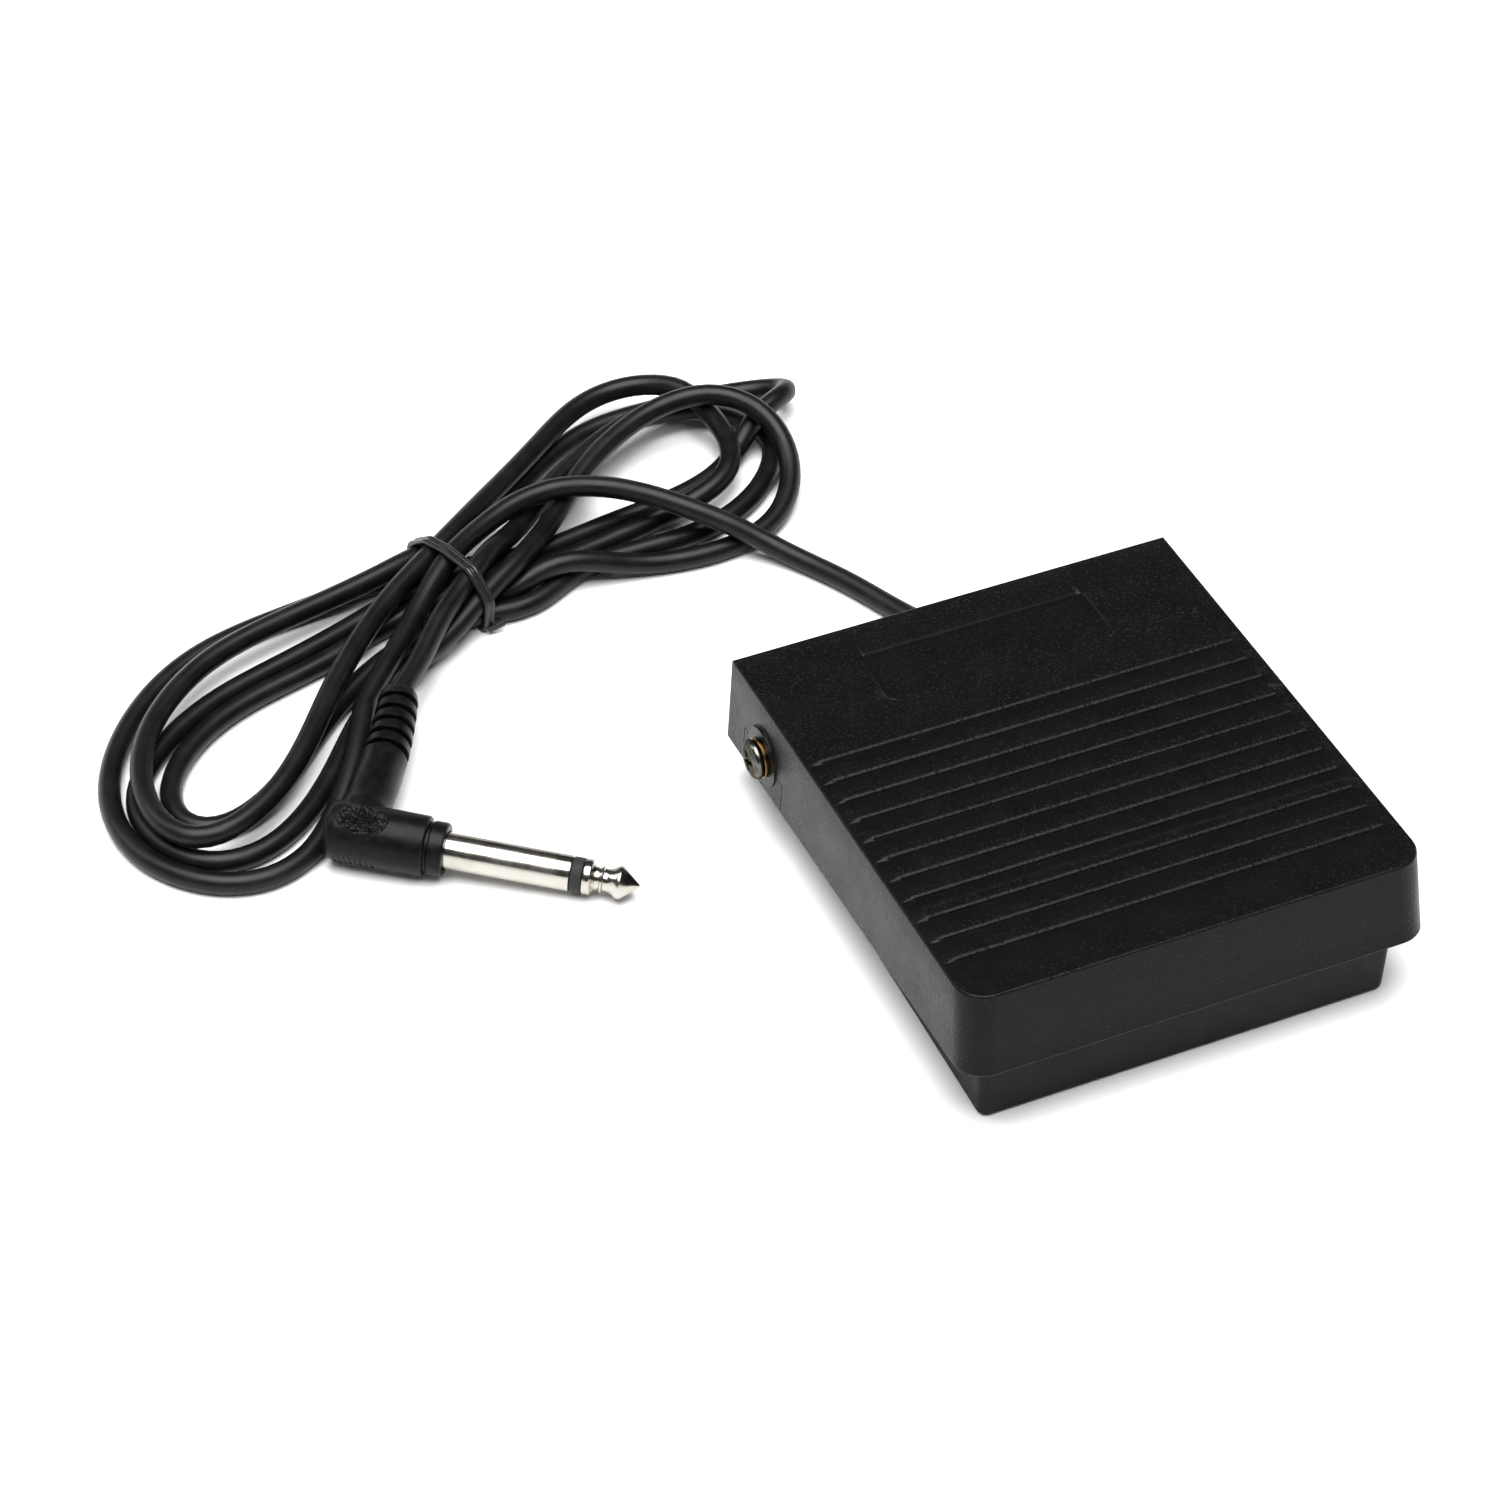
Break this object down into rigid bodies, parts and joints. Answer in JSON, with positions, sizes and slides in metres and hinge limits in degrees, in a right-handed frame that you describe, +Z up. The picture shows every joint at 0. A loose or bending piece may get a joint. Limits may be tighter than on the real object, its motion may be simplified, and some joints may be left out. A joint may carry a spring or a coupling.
{
  "type": "sustain pedal",
  "caption": "Compact momentary foot pedal: ribbed hinged treadle over a base tray, with a tied cord and a right-angle 6.35 mm plug.",
  "frame": {"origin": "centre of the pedal's footprint, on the floor under the non-slip mat; the free cord and plug are left out of that footprint", "axes": "+Z up, +X across the treadle's width, +Y to the rear, where the cord leaves; the foot presses the front, at -Y"},
  "size_m": [0.1927, 0.2011, 0.03],
  "materials": {
    "cover_plastic": "fine spark-eroded grain, satin",
    "base_plastic": "fine grain, satin",
    "switch_plastic": "smooth moulded",
    "rubber": "matt moulded",
    "cord_jacket": "smooth extruded, semi-matt",
    "wire_red": "smooth extruded",
    "wire_black": "smooth extruded",
    "dark_screw": "black nickel plating",
    "steel": "zinc plated",
    "brass": "turned",
    "nickel": "nickel plated, polished"
  },
  "bodies": {
    "base": {"base_tray": "base_plastic", "non_slip_mat": "rubber", "pivot_screw_left": "dark_screw", "pivot_screw_right": "dark_screw", "pivot_bush_left": "brass", "pivot_bush_right": "brass", "return_spring": "steel", "switch_housing": "switch_plastic", "switch_spring": "steel", "switch_terminal_left": "brass", "switch_terminal_right": "brass", "switch_screw_left": "steel", "switch_screw_right": "steel", "stop_pad_left": "rubber", "stop_pad_right": "rubber", "cord_clamp": "switch_plastic", "clamp_screw_left": "steel", "clamp_screw_right": "steel", "cord_grommet": "rubber", "inner_cord": "cord_jacket", "switch_wire_left": "wire_black", "switch_wire_right": "wire_red", "cord_lead": "cord_jacket", "cord_hank": "cord_jacket", "cord_tail": "cord_jacket", "cord_tie": "cord_jacket", "plug_boot": "rubber", "plug_sleeve": "nickel", "plug_insulator": "switch_plastic", "plug_tip": "nickel"},
    "pedal": {"pedal_cover": "cover_plastic"},
    "plunger": {"switch_plunger": "switch_plastic", "bridge_contact": "brass"}
  },
  "joints": [
    {"name": "pedal_hinge", "type": "hinge", "parent": "base", "child": "pedal", "pos_m": [0, 0.0335, 0.016], "axis": [1, 0, 0], "range_deg": [0, 6], "stiffness_Nm_per_rad": 4.8, "springref_deg": -3.58, "deforming": ["return_spring"]},
    {"name": "plunger_slide", "type": "slide", "parent": "base", "child": "plunger", "axis": [0, 0, -1], "range_m": [0, 0.003], "deforming": ["switch_spring"]}
  ],
  "couplings": [
    {"joint": "plunger_slide", "follows": "pedal_hinge", "m_per_rad": 0.0265}
  ]
}
